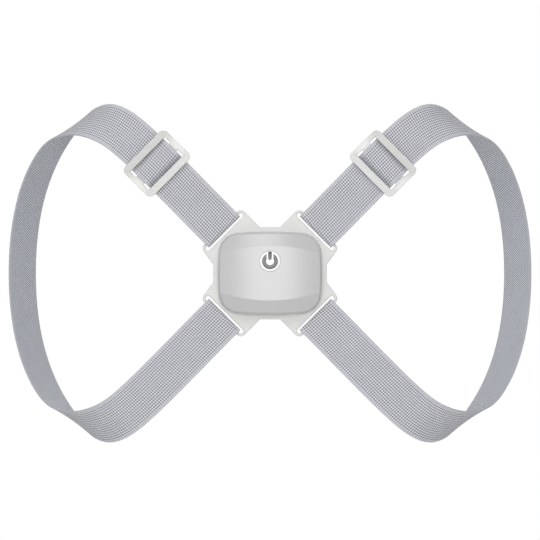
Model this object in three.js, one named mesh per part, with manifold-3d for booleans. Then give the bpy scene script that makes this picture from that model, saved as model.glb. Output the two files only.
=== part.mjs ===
// A posture corrector: a plate with a sensor housing between the shoulder blades, and two loops of webbing
// that go over the shoulders and back under the arms. Millimetres, +Z is up on the wearer, +X is the
// wearer's right, and the button faces -Y. The origin is the middle of the pad on the plate's rear.
import * as THREE from "three";
import { mergeVertices } from "three/addons/utils/BufferGeometryUtils.js";
import Module from "manifold-3d";

const wasm = await Module();
wasm.setup();

// Clearance between pieces that lie on each other
const runGap = 0.3;

// Webbing
const webWidth = 30;
const webThickness = 1.4;
const upperTail = 22;
const lowerTail = 24;
const tailSlope = 10;

// Plate
const plateWidth = 76.8;
const plateHeight = 62.4;
const plateThickness = 2.4;
const plateBevel = 0.6;
const topFlatWidth = 13.6;
const sideFlatHeight = 11.8;
const slotReach = 41.6;
const slotOffset = 2;
const slotWidth = 3.2;
const slotEndPlay = 2.3;
const slotRim = 2;
const padWidth = 64;
const padHeight = 50;
const padCorner = 12;
const padDepth = 2.2;

// Housing cover
const coverWidth = 70.3;
const coverHeight = 56.1;
const coverCorner = 14;
const coverBow = 4;
const coverDepth = 14;
const coverWall = 2;
const crownDrop = 4.5;
const edgeDrop = 4;
const edgeBand = 9.5;
const edgeCreep = 4.6;

// Button and the symbol on it
const buttonRadius = 6.9;
const buttonLift = 8.1;
const buttonProud = 0.3;
const flangeRim = 1.6;
const flangeThickness = 1.2;
const markThickness = 0.3;
const markOuterRadius = 5.3;
const markInnerRadius = 2.76;
const markGapWidth = 4.8;
const markBarWidth = 2.3;
const markBarLow = 0.9;
const markBarHigh = 6.4;

// Three-bar slider
const sliderPlace = 64.8;
const sliderRail = 3.6;
const sliderSidePlay = 1.5;
const sliderEndBar = 5;
const sliderWindowLength = 5.25;
const sliderMiddleBar = 7;
const sliderThickness = 2;
const sliderDip = 1.6;
const sliderCorner = 4;
const rampAngle = 60;

// Shoulder loop, from the plate to the middle of its side
const loopReach = 173.6;
const loopHeight = 104;
const loopDepth = 90;

// Stations of the loop's upper half. out, up and back are shares of loopReach, loopHeight and loopDepth,
// and turn is how many degrees the outer face has rolled about the run of the webbing.
const loopStations = [
  { out: 0.44, up: 0.713, back: 0, turn: 0 },
  { out: 0.526, up: 0.85, back: 0.01, turn: 0 },
  { out: 0.62, up: 0.965, back: 0.075, turn: 14 },
  { out: 0.7, up: 1, back: 0.2, turn: 43 },
  { out: 0.762, up: 0.98, back: 0.36, turn: 75 },
  { out: 0.82, up: 0.915, back: 0.52, turn: 101 },
  { out: 0.885, up: 0.785, back: 0.7, turn: 115 },
  { out: 0.96, up: 0.51, back: 0.905, turn: 122 },
  { out: 1, up: 0, back: 1, turn: 124 },
];

// How finely curves are divided
const curveSteps = 10;
const wingSteps = 8;
const crownSteps = 14;
const bendSteps = 5;
const webStep = 5;
const shortestStep = 0.02;
const pathSamples = 1200;

// How far a shape that cuts reaches past the face it cuts
const cutLength = 1;

// Places worked out from the sizes. A depth is counted from the pad towards the viewer.
const diagonal = Math.SQRT1_2;
const halfWeb = webThickness / 2;
const webLayer = webThickness + runGap;
const plateFront = padDepth + plateThickness;
const plateMiddle = padDepth + plateThickness / 2;
const barMiddle = (slotWidth + slotRim) / 2;
const barRadius = Math.max(
  Math.hypot(slotRim / 2 - plateBevel, plateThickness / 2),
  Math.hypot(slotRim / 2, plateThickness / 2 - plateBevel),
);
const bendRadius = barRadius + runGap + halfWeb;
const webDepth = plateMiddle + bendRadius;
const slotLength = webWidth + 2 * slotEndPlay;
const slotOut = (slotReach + slotOffset) * diagonal;
const slotUp = (slotReach - slotOffset) * diagonal;
const coverRear = plateFront + runGap;
const coverFront = coverRear + coverDepth;
const buttonFront = coverFront + buttonProud;
const sliderWidth = webWidth + 2 * (sliderSidePlay + sliderRail);
const sliderLength = 2 * (sliderEndBar + sliderWindowLength) + sliderMiddleBar;

const plateFinish = { color: 0xd9d9d6, roughness: 0.5, metalness: 0 };
const coverFinish = { color: 0xd6d6d6, roughness: 0.38, metalness: 0 };
const buttonFinish = { color: 0xf2f2f2, roughness: 0.35, metalness: 0 };
const markFinish = { color: 0x747474, roughness: 0.5, metalness: 0 };
const sliderFinish = { color: 0xdededb, roughness: 0.4, metalness: 0 };
const webFinish = { color: 0xb9bac1, roughness: 0.9, metalness: 0 };

function radians(degrees) {
  return THREE.MathUtils.degToRad(degrees);
}

function toSolid(geometry) {
  const bare = geometry.clone();
  bare.deleteAttribute("normal");
  bare.deleteAttribute("uv");
  const merged = mergeVertices(bare, 1e-4);
  return new wasm.Manifold(new wasm.Mesh({
    numProp: 3,
    vertProperties: new Float32Array(merged.attributes.position.array),
    triVerts: new Uint32Array(merged.index.array),
  }));
}

function toGeometry(solid) {
  const mesh = solid.getMesh();
  const geometry = new THREE.BufferGeometry();
  geometry.setAttribute("position", new THREE.BufferAttribute(mesh.vertProperties, mesh.numProp));
  geometry.setIndex(new THREE.BufferAttribute(mesh.triVerts, 1));
  geometry.computeVertexNormals();
  return geometry;
}

function namedMesh(name, geometry, finish) {
  const mesh = new THREE.Mesh(geometry, new THREE.MeshStandardMaterial(finish));
  mesh.name = name;
  return mesh;
}

// The same shape on the other side of the wearer's spine
function mirrored(geometry) {
  const twin = geometry.clone();
  twin.scale(-1, 1, 1);
  const index = twin.index.array;
  for (let corner = 0; corner < index.length; corner += 3) {
    [index[corner + 1], index[corner + 2]] = [index[corner + 2], index[corner + 1]];
  }
  twin.computeVertexNormals();
  return twin;
}

// A slab of an outline drawn in X and Z, between two depths, with its edges chamfered if bevel is above 0
function frontSlab(outline, rear, front, bevel = 0) {
  const slab = new THREE.ExtrudeGeometry(outline, {
    depth: front - rear - 2 * bevel,
    bevelEnabled: bevel > 0,
    bevelThickness: bevel,
    bevelSize: bevel,
    bevelOffset: -bevel,
    bevelSegments: 1,
    curveSegments: curveSteps,
  });
  slab.translate(0, 0, rear + bevel);
  slab.rotateX(Math.PI / 2);
  return slab;
}

// A rectangle with round corners. bow is the angle by which each side's ends lean, so that it bulges.
function roundedRectangle(width, height, corner, bow = 0) {
  const lean = radians(bow);
  const rise = Math.tan(lean) / 2;
  const reach = corner * (Math.cos(lean) + rise * Math.sin(lean));
  const across = width / 2 - reach;
  const along = height / 2 - reach;
  const centreX = (across - rise * along) / (1 - rise * rise);
  const centreY = (along - rise * across) / (1 - rise * rise);
  const flatX = centreX + corner * Math.sin(lean);
  const flatY = centreY + corner * Math.sin(lean);
  const edgeX = centreX + corner * Math.cos(lean);
  const edgeY = centreY + corner * Math.cos(lean);
  const quarter = Math.PI / 2;
  const shape = new THREE.Shape();
  const side = (controlX, controlY, endX, endY) => {
    if (lean > 0) {
      shape.quadraticCurveTo(controlX, controlY, endX, endY);
    } else {
      shape.lineTo(endX, endY);
    }
  };
  shape.moveTo(edgeX, -flatY);
  side(edgeX + flatY * 2 * rise, 0, edgeX, flatY);
  shape.absarc(centreX, centreY, corner, lean, quarter - lean);
  side(0, edgeY + flatX * 2 * rise, -flatX, edgeY);
  shape.absarc(-centreX, centreY, corner, quarter + lean, 2 * quarter - lean);
  side(-edgeX - flatY * 2 * rise, 0, -edgeX, -flatY);
  shape.absarc(-centreX, -centreY, corner, 2 * quarter + lean, 3 * quarter - lean);
  side(0, -edgeY - flatX * 2 * rise, flatX, -edgeY);
  shape.absarc(centreX, -centreY, corner, 3 * quarter + lean, 4 * quarter - lean);
  return shape;
}

// The middle of the round end of a wing's slot, in the quadrant of positive X and Z. end is 1 for the end
// nearest the top of the plate and -1 for the one nearest its side.
function slotEnd(end) {
  const offset = end * (slotLength - slotWidth) / 2 * diagonal;
  return new THREE.Vector2(slotOut - offset, slotUp + offset);
}

function arcPoints(centre, radius, from, to) {
  const curve = new THREE.EllipseCurve(centre.x, centre.y, radius, radius, from, to);
  return curve.getPoints(wingSteps);
}

// One wing: up from the side flat, round both ends of the slot at a constant rim, and on to the top flat
function wingPoints() {
  const radius = slotWidth / 2 + slotRim;
  const fromSide = new THREE.Vector2(plateWidth / 2, sideFlatHeight / 2);
  const toTop = new THREE.Vector2(topFlatWidth / 2, plateHeight / 2);
  const lowEnd = slotEnd(-1);
  const highEnd = slotEnd(1);
  const out = lowEnd.clone().sub(fromSide);
  const back = toTop.clone().sub(highEnd);
  const start = out.angle() - Math.asin(radius / out.length()) - Math.PI / 2;
  const finish = back.angle() + Math.asin(radius / back.length()) - Math.PI / 2;
  return [
    fromSide,
    ...arcPoints(lowEnd, radius, start, Math.PI / 4),
    ...arcPoints(highEnd, radius, Math.PI / 4, finish),
    toTop,
  ];
}

function slotPoints() {
  const radius = slotWidth / 2;
  return [
    ...arcPoints(slotEnd(-1), radius, -Math.PI * 0.75, Math.PI / 4),
    ...arcPoints(slotEnd(1), radius, Math.PI / 4, Math.PI * 1.25),
  ];
}

// The four quadrants in turn, as mirror images, so that a path of points runs on the same way round
function quadrant(points, mirrorX, mirrorY) {
  const placed = points.map((point) => new THREE.Vector2(point.x * mirrorX, point.y * mirrorY));
  return mirrorX * mirrorY > 0 ? placed : placed.reverse();
}

function makePlate() {
  const quadrants = [[1, 1], [-1, 1], [-1, -1], [1, -1]];
  const outline = new THREE.Shape(quadrants.flatMap(([x, y]) => quadrant(wingPoints(), x, y)));
  outline.holes = quadrants.map(([x, y]) => new THREE.Path(quadrant(slotPoints(), x, y)));
  const wings = toSolid(frontSlab(outline, padDepth, plateFront, plateBevel));
  const pad = toSolid(frontSlab(roundedRectangle(padWidth, padHeight, padCorner), 0, plateMiddle));
  return toGeometry(wings.add(pad));
}

// Everything behind a sheet that curves down towards both sides by drop, is level along its other way,
// passes through depth at height, and leans back by lean as it rises
function behindSheet(depth, height, drop, lean) {
  const reach = coverWidth;
  const edge = (share) => new THREE.Vector2(share * reach / 2, -drop * share * share);
  const steps = [...Array(2 * crownSteps + 1).keys()];
  const outline = new THREE.Shape(steps.map((step) => edge(step / crownSteps - 1)).reverse());
  outline.lineTo(-reach / 2, -reach);
  outline.lineTo(reach / 2, -reach);
  const sheet = new THREE.ExtrudeGeometry(outline, { depth: 2 * reach, bevelEnabled: false });
  sheet.rotateX(Math.PI);
  sheet.translate(0, 0, reach);
  sheet.rotateX(-lean);
  sheet.translate(0, -depth, height);
  return toSolid(sheet);
}

// The housing's outer form, or its hollow when inset is the wall
function coverForm(inset, rear) {
  const width = coverWidth - 2 * inset;
  const height = coverHeight - 2 * inset;
  const outline = roundedRectangle(width, height, coverCorner - inset, coverBow);
  const front = coverFront - inset;
  const crease = coverHeight / 2 - edgeBand;
  const lean = Math.atan2(edgeDrop, edgeBand);
  const edgeCrown = crownDrop + edgeCreep * edgeDrop / edgeBand;
  return toSolid(frontSlab(outline, rear, coverFront + runGap))
    .intersect(behindSheet(front, 0, crownDrop, 0))
    .intersect(behindSheet(front, crease, edgeCrown, lean))
    .intersect(behindSheet(front, -crease, edgeCrown, -lean));
}

// A round solid about the button's middle, from pairs of radius and depth
function buttonTurning(profile) {
  const points = profile.map(([radius, depth]) => new THREE.Vector2(radius, depth));
  const turned = new THREE.LatheGeometry(points, 4 * curveSteps);
  turned.rotateX(Math.PI);
  turned.translate(0, 0, buttonLift);
  return turned;
}

function makeCover() {
  const shell = coverForm(0, coverRear).subtract(coverForm(coverWall, coverRear - cutLength));
  const radius = buttonRadius + runGap;
  const hole = buttonTurning([[0, coverRear], [radius, coverRear], [radius, buttonFront], [0, buttonFront]]);
  return toGeometry(shell.subtract(toSolid(hole)));
}

function makeButton() {
  const flangeRadius = buttonRadius + flangeRim;
  const sag = crownDrop * (flangeRadius / (coverWidth / 2)) ** 2;
  const flangeFront = coverFront - coverWall - sag - runGap;
  const flangeRear = flangeFront - flangeThickness;
  return toGeometry(toSolid(buttonTurning([
    [0, flangeRear],
    [flangeRadius, flangeRear],
    [flangeRadius, flangeFront],
    [buttonRadius, flangeFront],
    [buttonRadius, buttonFront],
    [0, buttonFront],
  ])));
}

function makeMark(outline) {
  const mark = frontSlab(outline, buttonFront, buttonFront + markThickness);
  mark.translate(0, 0, buttonLift);
  return toGeometry(toSolid(mark));
}

// A ring that is open at its top between two upright lines
function markArc() {
  const outer = Math.acos(markGapWidth / 2 / markOuterRadius);
  const inner = Math.acos(markGapWidth / 2 / markInnerRadius);
  const outline = new THREE.Shape();
  outline.absarc(0, 0, markOuterRadius, Math.PI - outer, outer + 2 * Math.PI);
  outline.absarc(0, 0, markInnerRadius, inner + 2 * Math.PI, Math.PI - inner, true);
  return outline;
}

function markBar() {
  const outline = new THREE.Shape();
  outline.moveTo(-markBarWidth / 2, markBarLow);
  outline.lineTo(markBarWidth / 2, markBarLow);
  outline.lineTo(markBarWidth / 2, markBarHigh);
  outline.lineTo(-markBarWidth / 2, markBarHigh);
  return outline;
}

// A smooth curve through rows of numbers, with given slopes at both ends: a cubic spline over distance
function spline(places, rows, firstSlope, lastSlope) {
  const last = places.length - 1;
  const width = rows[0].length;
  const slopes = rows.map(() => Array(width).fill(0));
  const step = (row) => places[row + 1] - places[row];
  for (let column = 0; column < width; column += 1) {
    const rise = (row) => (rows[row + 1][column] - rows[row][column]) / step(row);
    const weight = [0];
    const value = [firstSlope[column]];
    for (let row = 1; row < last; row += 1) {
      const before = 1 / step(row - 1);
      const after = 1 / step(row);
      const pivot = 2 * (before + after) - before * weight[row - 1];
      weight.push(after / pivot);
      value.push((3 * (before * rise(row - 1) + after * rise(row)) - before * value[row - 1]) / pivot);
    }
    slopes[last][column] = lastSlope[column];
    for (let row = last - 1; row > 0; row -= 1) {
      slopes[row][column] = value[row] - weight[row] * slopes[row + 1][column];
    }
    slopes[0][column] = firstSlope[column];
  }
  return (place) => {
    const next = places.findIndex((one) => one >= place);
    const row = Math.min(Math.max(next - 1, 0), last - 1);
    const length = step(row);
    const t = (place - places[row]) / length;
    return rows[row].map((start, column) => {
      const end = rows[row + 1][column];
      const lift = t * t * (3 - 2 * t);
      const leave = t * (1 - t) * (1 - t) * length * slopes[row][column];
      const arrive = t * t * (t - 1) * length * slopes[row + 1][column];
      return start + (end - start) * lift + leave + arrive;
    });
  };
}

// The middle line of the outer layer of webbing, from the upper slot round the shoulder to the lower one:
// points, the way they run, and the outer face's direction, by distance from the slot
function loopPath() {
  const upper = loopStations.map(({ out, up, back, turn }) => (
    [out * loopReach, back * loopDepth, up * loopHeight, turn]
  ));
  upper.unshift([slotOut, 0, slotUp, 0]);
  const lower = upper.slice(0, -1).reverse().map(([x, y, z, turn]) => [x, y, -z, turn]);
  const rows = [...upper, ...lower];
  const places = [0];
  rows.slice(1).forEach((row, index) => {
    const gap = Math.hypot(...row.slice(0, 3).map((value, axis) => value - rows[index][axis]));
    places.push(places[index] + gap);
  });
  const at = spline(places, rows, [diagonal, 0, diagonal, 0], [-diagonal, 0, diagonal, 0]);
  const total = places[places.length - 1];
  const samples = [...Array(pathSamples + 1).keys()].map((index) => at(total * index / pathSamples));
  const points = samples.map(([x, y, z]) => new THREE.Vector3(x, y - webDepth, z));
  const distances = [0];
  points.slice(1).forEach((point, index) => {
    distances.push(distances[index] + point.distanceTo(points[index]));
  });
  const back = new THREE.Vector3(0, 1, 0);
  const runs = points.map((_, index) => {
    const ahead = points[Math.min(index + 1, pathSamples)];
    return ahead.clone().sub(points[Math.max(index - 1, 0)]).normalize();
  });
  const faces = runs.map((run, index) => {
    const turn = radians(samples[index][3]);
    const deep = back.clone().addScaledVector(run, -run.dot(back)).normalize();
    const side = run.clone().cross(deep);
    return deep.multiplyScalar(-Math.cos(turn)).addScaledVector(side, Math.sin(turn));
  });
  return { points, runs, faces, distances, length: distances[pathSamples] };
}

const path = loopPath();

// The place at a distance along the loop, as a matrix whose axes are the webbing's width, its run and its
// outer face
function placeAt(distance) {
  const next = path.distances.findIndex((one) => one > distance);
  const before = next < 0 ? pathSamples - 1 : Math.max(next - 1, 0);
  const share = (distance - path.distances[before]) / (path.distances[before + 1] - path.distances[before]);
  const between = (list) => list[before].clone().lerp(list[before + 1], share);
  const run = between(path.runs).normalize();
  const face = between(path.faces);
  face.addScaledVector(run, -run.dot(face)).normalize();
  const width = run.clone().cross(face);
  return new THREE.Matrix4().makeBasis(width, run, face).setPosition(between(path.points));
}

// How far the slider's bars stand off the outer layer of webbing: the end bars lie on it, and the middle
// bar is lower by its share of the dip
const windowShare = sliderWindowLength / (sliderWindowLength + sliderEndBar);
const middleBarRise = halfWeb + runGap + sliderThickness / 2 - sliderDip * windowShare;

function makeSlider() {
  const along = sliderLength / 2;
  const flat = sliderMiddleBar / 2;
  const low = middleBarRise - sliderThickness / 2;
  const high = middleBarRise + sliderThickness / 2;
  const valley = new THREE.Shape([
    new THREE.Vector2(-along, low + sliderDip),
    new THREE.Vector2(-flat, low),
    new THREE.Vector2(flat, low),
    new THREE.Vector2(along, low + sliderDip),
    new THREE.Vector2(along, high + sliderDip),
    new THREE.Vector2(flat, high),
    new THREE.Vector2(-flat, high),
    new THREE.Vector2(-along, high + sliderDip),
  ]);
  const bent = new THREE.ExtrudeGeometry(valley, { depth: sliderWidth, bevelEnabled: false });
  bent.applyMatrix4(new THREE.Matrix4().makeBasis(
    new THREE.Vector3(0, 1, 0),
    new THREE.Vector3(0, 0, 1),
    new THREE.Vector3(1, 0, 0),
  ));
  bent.translate(-sliderWidth / 2, 0, 0);
  const tall = 2 * (sliderThickness + sliderDip);
  const upright = { depth: 2 * tall, bevelEnabled: false, curveSegments: curveSteps };
  const blank = new THREE.ExtrudeGeometry(roundedRectangle(sliderWidth, sliderLength, sliderCorner), upright);
  blank.translate(0, 0, -tall);
  const window = new THREE.BoxGeometry(sliderWidth - 2 * sliderRail, sliderWindowLength, 2 * tall);
  window.translate(0, (sliderMiddleBar + sliderWindowLength) / 2, 0);
  const otherWindow = window.clone().translate(0, -sliderMiddleBar - sliderWindowLength, 0);
  const frame = toSolid(bent).intersect(toSolid(blank));
  const pierced = toGeometry(frame.subtract(toSolid(window)).subtract(toSolid(otherWindow)));
  return pierced.applyMatrix4(placeAt(sliderPlace));
}

// The folds of one strap, from its sewn end to its other end. along is the distance from the upper slot,
// rise the height over the outer layer of webbing, and radius the bend at that corner.
function strapFolds() {
  const barTop = middleBarRise + sliderThickness / 2;
  const barReach = sliderMiddleBar / 2 + runGap + halfWeb;
  const snug = runGap + halfWeb;
  const hump = barTop + snug + webLayer;
  const ramp = radians(rampAngle);
  const crown = snug + webLayer;
  const humpReach = sliderMiddleBar / 2 + crown * Math.tan(ramp / 2);
  const humpFoot = humpReach + hump / Math.tan(ramp);
  const underBar = middleBarRise - sliderThickness / 2 - snug;
  const deep = -2 * bendRadius;
  const nearBar = sliderPlace - sliderMiddleBar / 2 - sliderWindowLength;
  const slope = (-webLayer - deep) / (nearBar - barMiddle);
  const lift = barReach + (underBar + webLayer) / Math.tan(ramp);
  const tailTurn = barReach + webThickness / 2;
  const slotTurn = barMiddle - bendRadius;
  const end = path.length;
  const tailFar = sliderPlace - tailTurn - upperTail;
  const wide = webLayer;
  return [
    { along: tailFar, rise: -2 * webLayer - slope * (nearBar - tailFar), radius: 0 },
    { along: nearBar, rise: -2 * webLayer, radius: wide },
    { along: sliderPlace - tailTurn, rise: -2 * webLayer, radius: wide },
    { along: sliderPlace + barReach, rise: underBar, radius: snug },
    { along: sliderPlace + barReach, rise: barTop + snug, radius: snug },
    { along: sliderPlace - barReach, rise: barTop + snug, radius: snug },
    { along: sliderPlace - barReach, rise: underBar, radius: wide },
    { along: sliderPlace - lift, rise: -webLayer, radius: halfWeb },
    { along: nearBar, rise: -webLayer, radius: wide },
    { along: barMiddle + tailSlope, rise: deep + slope * tailSlope, radius: wide },
    { along: slotTurn, rise: deep, radius: bendRadius },
    { along: slotTurn, rise: 0, radius: bendRadius },
    { along: sliderPlace - humpFoot, rise: 0, radius: webThickness },
    { along: sliderPlace - humpReach, rise: hump, radius: crown },
    { along: sliderPlace + humpReach, rise: hump, radius: crown },
    { along: sliderPlace + humpFoot, rise: 0, radius: webThickness },
    { along: end - slotTurn, rise: 0, radius: bendRadius },
    { along: end - slotTurn, rise: deep, radius: bendRadius },
    { along: end - barMiddle, rise: deep, radius: wide },
    { along: end - barMiddle - tailSlope, rise: -webLayer, radius: wide },
    { along: end - barMiddle - tailSlope - lowerTail, rise: -webLayer, radius: 0 },
  ];
}

// A path through the folds, straight between them and round at them, in short steps
function strapRoute() {
  const folds = strapFolds();
  const corners = folds.map((fold) => new THREE.Vector2(fold.along, fold.rise));
  const route = [corners[0]];
  const walkTo = (target) => {
    const from = route[route.length - 1];
    const steps = Math.max(1, Math.round(from.distanceTo(target) / webStep));
    for (let step = 1; step <= steps; step += 1) {
      route.push(from.clone().lerp(target, step / steps));
    }
  };
  for (let fold = 1; fold < folds.length - 1; fold += 1) {
    const arriving = corners[fold].clone().sub(corners[fold - 1]).normalize();
    const leaving = corners[fold + 1].clone().sub(corners[fold]).normalize();
    const bend = Math.atan2(arriving.cross(leaving), arriving.dot(leaving));
    const trim = folds[fold].radius * Math.tan(Math.abs(bend) / 2);
    const side = new THREE.Vector2(-arriving.y, arriving.x);
    side.multiplyScalar(Math.sign(bend) * folds[fold].radius);
    const start = corners[fold].clone().addScaledVector(arriving, -trim);
    const centre = start.clone().add(side);
    walkTo(start);
    const steps = Math.max(1, Math.round(Math.abs(bend) / (Math.PI / 2) * bendSteps));
    for (let step = 1; step <= steps; step += 1) {
      route.push(start.clone().rotateAround(centre, bend * step / steps));
    }
  }
  walkTo(corners[corners.length - 1]);
  return route.filter((point, index) => index === 0 || point.distanceTo(route[index - 1]) > shortestStep);
}

// The webbing: a flat section carried along its route, closed at both ends
function makeStrap() {
  const route = strapRoute();
  const vertices = [];
  route.forEach((point, index) => {
    const before = route[Math.max(index - 1, 0)];
    const after = route[Math.min(index + 1, route.length - 1)];
    const arriving = point.clone().sub(before).normalize();
    const leaving = after.clone().sub(point).normalize();
    const run = arriving.add(leaving).normalize();
    const face = new THREE.Vector2(-run.y, run.x);
    for (const [layer, side] of [[-1, -1], [-1, 1], [1, 1], [1, -1]]) {
      const flat = point.clone().addScaledVector(face, layer * halfWeb);
      const corner = new THREE.Vector3(side * webWidth / 2, 0, flat.y);
      vertices.push(corner.applyMatrix4(placeAt(flat.x)));
    }
  });
  const faces = [];
  const quad = (a, b, c, d) => faces.push(a, c, b, a, d, c);
  for (let section = 0; section < route.length - 1; section += 1) {
    const near = 4 * section;
    const far = near + 4;
    for (let corner = 0; corner < 4; corner += 1) {
      const next = (corner + 1) % 4;
      quad(near + corner, near + next, far + next, far + corner);
    }
  }
  const last = 4 * (route.length - 1);
  quad(3, 2, 1, 0);
  quad(last, last + 1, last + 2, last + 3);
  const numbers = vertices.flatMap((vertex) => vertex.toArray());
  const strap = new THREE.BufferGeometry();
  strap.setAttribute("position", new THREE.Float32BufferAttribute(numbers, 3));
  strap.setIndex(faces);
  strap.computeVertexNormals();
  return strap;
}

const corrector = new THREE.Group();
const sliderRight = makeSlider();
const strapRight = makeStrap();
corrector.add(
  namedMesh("harness_plate", makePlate(), plateFinish),
  namedMesh("housing_cover", makeCover(), coverFinish),
  namedMesh("power_button", makeButton(), buttonFinish),
  namedMesh("power_mark_arc", makeMark(markArc()), markFinish),
  namedMesh("power_mark_bar", makeMark(markBar()), markFinish),
  namedMesh("slider_left", mirrored(sliderRight), sliderFinish),
  namedMesh("slider_right", sliderRight, sliderFinish),
  namedMesh("strap_left", mirrored(strapRight), webFinish),
  namedMesh("strap_right", strapRight, webFinish),
);

export default corrector;
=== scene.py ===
"""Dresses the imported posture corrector: woven webbing, a satin housing, a push button and moulded fittings.

Everything is in metres in the part's own frame: +X is the wearer's right, +Z is up and the button faces -Y.
A depth is counted from the pad on the plate's rear towards the viewer, so it is the same as -Y.
"""

import math

import bmesh
import bpy
import numpy as np
from bpy.props import FloatProperty, FloatVectorProperty, IntProperty, PointerProperty
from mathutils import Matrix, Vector


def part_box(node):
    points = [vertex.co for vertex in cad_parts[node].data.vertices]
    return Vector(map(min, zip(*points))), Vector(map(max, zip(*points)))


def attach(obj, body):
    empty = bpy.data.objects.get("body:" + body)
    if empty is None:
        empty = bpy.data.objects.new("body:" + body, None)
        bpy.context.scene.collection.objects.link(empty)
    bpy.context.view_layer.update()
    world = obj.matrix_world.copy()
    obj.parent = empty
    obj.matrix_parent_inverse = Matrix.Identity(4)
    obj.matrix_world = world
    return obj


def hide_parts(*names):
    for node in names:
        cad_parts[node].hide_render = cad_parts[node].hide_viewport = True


bl_info = {
    "name": "Posture corrector dressing",
    "version": (1, 0, 0),
    "blender": (4, 5, 0),
    "location": "3D View > Sidebar > Posture corrector",
    "description": "Makes the webbing, housing, button, plate, sliders and studio of a posture corrector",
    "category": "Object",
}

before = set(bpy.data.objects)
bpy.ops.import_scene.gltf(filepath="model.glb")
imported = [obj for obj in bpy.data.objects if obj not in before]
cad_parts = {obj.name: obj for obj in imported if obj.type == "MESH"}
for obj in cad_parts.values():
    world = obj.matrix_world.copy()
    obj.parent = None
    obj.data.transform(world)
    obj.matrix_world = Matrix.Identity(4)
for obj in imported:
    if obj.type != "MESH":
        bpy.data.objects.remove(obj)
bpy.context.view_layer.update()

# Sizes of the part, the same as in its source
RUN_GAP = 0.0003
WEB_WIDTH = 0.03
WEB_THICKNESS = 0.0014
UPPER_TAIL = 0.022
LOWER_TAIL = 0.024
TAIL_SLOPE = 0.01
PLATE_THICKNESS = 0.0024
PLATE_BEVEL = 0.0006
PAD_DEPTH = 0.0022
SLOT_REACH = 0.0416
SLOT_OFFSET = 0.002
SLOT_WIDTH = 0.0032
SLOT_RIM = 0.002
SLIDER_PLACE = 0.0648
SLIDER_END_BAR = 0.005
SLIDER_WINDOW = 0.00525
SLIDER_MIDDLE_BAR = 0.007
SLIDER_THICKNESS = 0.002
SLIDER_DIP = 0.0016
RAMP_ANGLE = math.radians(60)
LOOP_REACH = 0.1736
LOOP_HEIGHT = 0.104
LOOP_DEPTH = 0.09
COVER_CORNER = 0.014
COVER_BOW = math.radians(4)
COVER_WALL = 0.002
CROWN_DROP = 0.0045
EDGE_DROP = 0.004
EDGE_BAND = 0.0095
EDGE_CREEP = 0.0046
BUTTON_RADIUS = 0.0069
BUTTON_LIFT = 0.0081
FLANGE_RIM = 0.0016
FLANGE_THICKNESS = 0.0012
MARK_THICKNESS = 0.0003
MARK_OUTER_RADIUS = 0.0053
MARK_INNER_RADIUS = 0.00276
MARK_GAP_WIDTH = 0.0048
MARK_BAR_WIDTH = 0.0023
MARK_BAR_LOW = 0.0009
MARK_BAR_HIGH = 0.0064

# Stations of the loop's upper half: shares of LOOP_REACH, LOOP_HEIGHT and LOOP_DEPTH, and the degrees by
# which the outer face has rolled about the run of the webbing
LOOP_STATIONS = np.array([
    (0.44, 0.713, 0, 0),
    (0.526, 0.85, 0.01, 0),
    (0.62, 0.965, 0.075, 14),
    (0.7, 1, 0.2, 43),
    (0.762, 0.98, 0.36, 75),
    (0.82, 0.915, 0.52, 101),
    (0.885, 0.785, 0.7, 115),
    (0.96, 0.51, 0.905, 122),
    (1, 0, 1, 124),
])

# Places worked out from the sizes
HALF_WEB = WEB_THICKNESS / 2
WEB_LAYER = WEB_THICKNESS + RUN_GAP
BAR_MIDDLE = (SLOT_WIDTH + SLOT_RIM) / 2
BAR_RADIUS = max(
    math.hypot(SLOT_RIM / 2 - PLATE_BEVEL, PLATE_THICKNESS / 2),
    math.hypot(SLOT_RIM / 2, PLATE_THICKNESS / 2 - PLATE_BEVEL),
)
BEND_RADIUS = BAR_RADIUS + RUN_GAP + HALF_WEB
WEB_DEPTH = PAD_DEPTH + PLATE_THICKNESS / 2 + BEND_RADIUS

COVER_LOW, COVER_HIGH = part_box("housing_cover")
COVER_WIDTH = COVER_HIGH.x - COVER_LOW.x
COVER_HEIGHT = COVER_HIGH.z - COVER_LOW.z
COVER_FRONT = -COVER_LOW.y
COVER_REAR = -COVER_HIGH.y
BUTTON_FRONT = -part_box("power_button")[0].y

# How finely the webbing is divided: along the loop, along the strap, round its bends and across its ribs
PATH_SAMPLES = 1200
WEB_STEP = 0.0024
SHORTEST_STEP = 0.00002
BEND_STEPS = 9
RIB_STEPS = 4

# How finely the other rounded forms are divided
ROUND_STEPS = 8
OUTLINE_SAMPLES = 60
LIP_STEPS = 4
WALL_RINGS = 14
BUTTON_SPOKES = 96
MARK_STEPS = 80
STITCH_RINGS = 7
STITCH_SPOKES = 6
BEVEL_STEPS = 3

# Where rings lie: shares of the height of the cover's side, and of the radius of the button's face
SIDE_SHARES = (0, 0.03, 0.5, 0.97)
FACE_SHARES = (0.8, 0.5, 0.1)

# How blunt the ends of a stitch and of the symbol's stroke are, and how far a stitch stands out
STITCH_START = 0.02
STITCH_LIFT = 0.4
BAR_TIP = math.radians(12)

# What counts as one place, one plane and a sharp edge in a CAD mesh, and how firmly flat faces stay flat
SAME_PLACE = 0.000001
SAME_PLANE = math.radians(1)
SHARP_EDGE = math.radians(25)
FLAT_WEIGHT = 80

# The weave: how its threads wander, and the firm edges. Noise scales are counts for each metre.
WANDER = 0.0003
WANDER_SCALE = 420.0
WANDER_STRETCH = 0.25
SELVEDGE_BLEND = 0.0002
SELVEDGE_LOW = 0.5
SELVEDGE_RISE = 0.35
DRIFT_SCALE = 60.0
TONE_SCALE = 90.0

# The heights in the weave up to which it is painted dark, as shade in the pits, and from which it is pale,
# and its sheen
PIT_HEIGHT = 0.12
TOP_HEIGHT = 0.88
SHEEN = 0.15
SHEEN_ROUGHNESS = 0.5

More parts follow.
